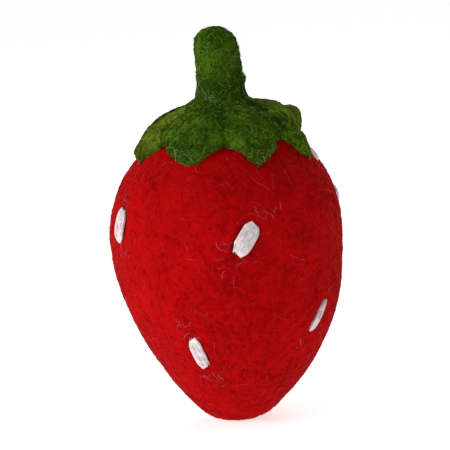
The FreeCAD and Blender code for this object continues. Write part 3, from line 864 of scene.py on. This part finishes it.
def leaf(number):
    """The smooth mesh of one sepal: rings across it, from near the stem out to its tip."""
    shape = leaves[number]
    tip, swing = math.radians(shape.tip), math.radians(shape.swing)
    joint = sepal_joints[number]
    pivot, axis = Vector(joint["pos_m"]), Vector(joint["axis"])
    rows = []
    for angle in np.linspace(leaf_start, tip, round(girth * (tip - leaf_start) / leaf_step)):
        free = max(0.0, (angle - hinge_angle) / (tip - hinge_angle))
        width = max(leaf_width(shape, min(angle, tip - 0.004)), thinnest)
        bulk = 1 + (shape.bulk - 1) * min(1.0, max(0.0, angle - bulk_from) / 0.25)
        root_height = crest_heights[-1] * bulk
        crest = np.interp(angle, crest_angles, crest_heights) * bulk
        crest -= (root_height - shape.tip_height) * free ** 1.3
        end = max(0.0, free - tip_round_from) / (1 - tip_round_from)
        crest *= max(0.2, math.sqrt(1 - end ** 2))
        gap = free_gap * min(1.0, 4 * free)
        lean = raised_by * min(1.0, 2.2 * free) if number == raised_sepal else 0.0
        rounding = shape.rounding + (free_rounding - shape.rounding) * min(1.0, 2 * free)
        row = []
        for turn in np.arange(leaf_ring) * 2 * math.pi / leaf_ring:
            side = math.cos(turn)
            ragged = edge_wobble * min(1.0, 3 * free) * math.sin(
                wobbles * angle + 2.1 * number + (2.6 if side > 0 else 0.0)) * side
            across = width * side + ragged
            azimuth = sepal_azimuth[number] + swing * free + across / (girth * math.sin(angle))
            if math.sin(turn) >= 0:
                height = gap + (crest - gap) * math.sin(turn) ** rounding
            else:
                height = gap - root_sunk * abs(math.sin(turn)) * (1 - min(1.0, 5 * free))
            point = over_crown(angle, azimuth, height)
            if lean:
                point = pivot + Matrix.Rotation(lean, 3, axis) @ (point - pivot)
            row.append(point)
        rows.append(row)
    ends = [sum(rows[0], Vector()) / leaf_ring, sum(rows[-1], Vector()) / leaf_ring]
    return joined_mesh([closed_rings(rows, ends)])


for number in sepal_joints:
    body = "sepal_%d" % number
    leaf_wool, leaf_fibre = leaf_wools.get(number, (green_wool, green_fibre))
    smooth_leaf = new_piece("leaf_smooth", leaf(number))
    lobe = new_piece(body + "_felt", evaluated(smooth_leaf, felt_tree, Seed=20.0 + number,
                                               Wool=leaf_wool, **green_sizes))
    bpy.data.objects.remove(smooth_leaf)
    mark_shade_and_dark_tip(lobe, [shade_and_dark_tip(vertex.co, number) for vertex in lobe.data.vertices])
    fuzz = loose_wool(body + "_fuzz", lobe, leaf_fibre, None,
                      "green_wool", lambda place: 1 - 0.7 * shade_and_dark_tip(place, number),
                      Seed=30 + number, **green_fuzz)
    tip_out = (girth + MM) * math.sin(math.radians(leaves[number].tip))
    frayed = loose_wool(body + "_wisps", lobe,
                        green_fibre if number == dark_tipped else pale_fibre, None, "green_wool",
                        lambda place: math.exp(-(max(0.0, tip_out - math.hypot(
                            place.x, place.y)) / (0.9 * MM)) ** 2),
                        Per_Square_Metre=1.6e6, Seed=60 + number, Length=1.6 * MM,
                        Thickness=0.05 * MM, Curl=0.5 * MM, Arch=0.15 * MM, Stand_Off=0.6 * MM)
    for piece in (lobe, fuzz, frayed):
        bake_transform(piece)
    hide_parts(body)


# ---- The stem ------------------------------------------------------------------------------------
# A fat roll of green wool with a domed end. Its lower fibres are spread out and needled into
# the cap, so it swells at its foot.

stem_pivot = Vector(joints["stem_bend"]["pos_m"])
stem_low, stem_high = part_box("stem")
stem_top = stem_high[2]
stem_foot = stem_pivot.z - 1.8 * MM
shaft_radius = (stem_high[1] - stem_low[1]) / 2
stem_taper = 0.4 * MM
foot_swell, swell_reach = 1.5 * MM, 1.5 * MM
dome_start = stem_top - 3.4 * MM
knot_rise, knot_reach = 0.55 * MM, 0.9 * MM         # a lump where one tuft stands out
knot_height, knot_azimuth = stem_pivot.z + 2.9 * MM, math.radians(75)
# Painted shade round the stem's foot, where it meets the cap: where it is darkest, and how far it
# reaches.
stem_shade_height, stem_shade_reach = stem_foot + 4 * MM, 4 * MM
stem_ring, stem_gap = 150, 0.16 * MM


def stem_radius(height):
    """Radius of the stem: swollen at its foot, a little narrower upwards, domed at its end."""
    swell = foot_swell * math.exp(-((height - stem_foot) / swell_reach) ** 1.2)
    shaft = shaft_radius - stem_taper * (height - stem_foot) / (stem_top - stem_foot)
    if height > dome_start:
        part = (height - dome_start) / (stem_top - dome_start)
        shaft *= math.sqrt(max(0.0, 1 - part ** 1.9))
    return shaft + swell


def stem_middle(height):
    """The stem's middle line, upright at first and then bent a little to the left."""
    part = max(0.0, (height - stem_pivot.z) / (stem_top - stem_pivot.z))
    return 0.15 * MM - 0.9 * MM * part ** 2 + 0.25 * MM * part ** 6


rows = []
for height in np.arange(stem_foot, stem_top - 0.02 * MM, stem_gap):
    radius = stem_radius(height)
    knot = knot_rise * math.exp(-((height - knot_height) / knot_reach) ** 2)
    row = []
    for azimuth in azimuths(stem_ring):
        bump = knot * math.exp(-((azimuth - knot_azimuth) / 0.5) ** 2)
        row.append((stem_middle(height) + (radius + bump) * math.sin(azimuth),
                    -(radius + bump) * math.cos(azimuth), height))
    rows.append(row)
smooth_stem = new_piece("stem_smooth", joined_mesh([closed_rings(rows, [
    (0, 0, stem_foot), (stem_middle(stem_top), 0, stem_top)])]))
stem_felt = new_piece("stem_felt", evaluated(smooth_stem, felt_tree, Seed=41.0,
                                          Wool=green_wool, **green_sizes))
bpy.data.objects.remove(smooth_stem)
# Painted shade near the stem's foot, next to the cap.
mark_shade_and_dark_tip(stem_felt, [0.5 * math.exp(-((vertex.co.z - stem_shade_height) / stem_shade_reach) ** 2)
                        for vertex in stem_felt.data.vertices])
stem_fuzz = loose_wool("stem_fuzz", stem_felt, green_fibre, None, "green_wool", Seed=42,
                       **green_fuzz)
stem_wisps = loose_wool("stem_wisps", stem_felt, pale_fibre, None, "green_wool",
                        lambda place: math.exp(-((place.z - stem_foot) / (2.4 * MM)) ** 2),
                        Per_Square_Metre=1.4e6, Seed=43, Length=2.0 * MM, Thickness=0.05 * MM,
                        Curl=0.8 * MM, Arch=0.16 * MM, Stand_Off=0.2 * MM)
for piece in (stem_felt, stem_fuzz, stem_wisps):
    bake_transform(piece)
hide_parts("stem")


# ---- Inside --------------------------------------------------------------------------------------
# Plain undyed wool, rolled tight and then wrapped, under the skin; and the stem's loose fibres,
# needled down through the crown.

core_wool = wool_material("core_wool", 8.0, deep=(0.36, 0.30, 0.21, 1),
                          body=(0.60, 0.54, 0.43, 1), light=(0.72, 0.67, 0.57, 1),
                          wisp=(0.85, 0.81, 0.72, 1), tuft=1.4 * MM)
for name, wool in (("core_wrap", core_wool), ("core_roll", core_wool),
                   ("stem_root", green_wool)):
    node = frame["nodes"][name]
    node.data.materials.clear()
    node.data.materials.append(wool)


# ---- Stage ---------------------------------------------------------------------------------------
# A plain white sheet that glows a little, as on a light table, in an evenly white studio. A big
# soft light stands at the left, and a weaker one behind.

def stage_floor():
    mesh = bpy.data.meshes.new("floor")
    reach = 3.0
    mesh.from_pydata([(-reach, -reach, 0), (reach, -reach, 0), (reach, reach, 0),
                      (-reach, reach, 0)], [], [(0, 1, 2, 3)])
    floor = new_piece("floor", mesh)
    paper = bpy.data.materials.new("pale_paper")
    paper.use_nodes = True
    sheet = paper.node_tree.nodes["Principled BSDF"].inputs
    sheet["Base Color"].default_value = (0.85, 0.85, 0.85, 1)
    sheet["Roughness"].default_value = 1.0
    sheet["Emission Color"].default_value = (1, 1, 1, 1)
    sheet["Emission Strength"].default_value = 0.62
    mesh.materials.append(paper)


def soft_light(name, place, size, power, target):
    lamp = bpy.data.lights.new(name, "AREA")
    lamp.shape = "DISK"
    lamp.size = size
    lamp.energy = power
    light = bpy.data.objects.new(name, lamp)
    light.location = place
    light.rotation_euler = (target - Vector(place)).to_track_quat("-Z", "Y").to_euler()
    bpy.context.scene.collection.objects.link(light)


stage_floor()
middle = Vector((0, 0, 0.5 * (cad_box[0][2] + cad_box[1][2])))
studio_light = 0.43
soft_light("key", (-0.60, -0.25, 0.26), 0.4, 2.8, middle)
soft_light("behind", (0.1, 0.6, 0.45), 0.5, 1.6, middle)
world = bpy.data.worlds.new("studio")
world.use_nodes = True
backdrop = world.node_tree.nodes["Background"]
backdrop.inputs["Color"].default_value = (1, 1, 1, 1)
seen = wire(world.node_tree, "ShaderNodeLightPath").outputs["Is Camera Ray"]
world.node_tree.links.new(maths(world.node_tree, "MAXIMUM", seen, studio_light),
                          backdrop.inputs["Strength"])
bpy.context.scene.world = world
bpy.context.scene.view_settings.view_transform = "Standard"

# The camera stands a little above the piece and is turned a few degrees on its own axis.
elevation, roll = math.radians(8), math.radians(-3.5)
lens, distance = 180.0, 0.4075
view_height = 35.5 * MM
camera = bpy.data.cameras.new("camera")
camera.lens = lens
camera.sensor_width = 36.0
eye = bpy.data.objects.new("camera", camera)
back = Vector((0, -math.cos(elevation), math.sin(elevation)))
aim = Vector((-0.6 * MM, 0, view_height))
eye.location = aim + back * distance
eye.rotation_euler = (back.to_track_quat("Z", "Y").to_matrix()
                      @ Matrix.Rotation(roll, 3, "Z")).to_euler()
bpy.context.scene.collection.objects.link(eye)
bpy.context.scene.camera = eye
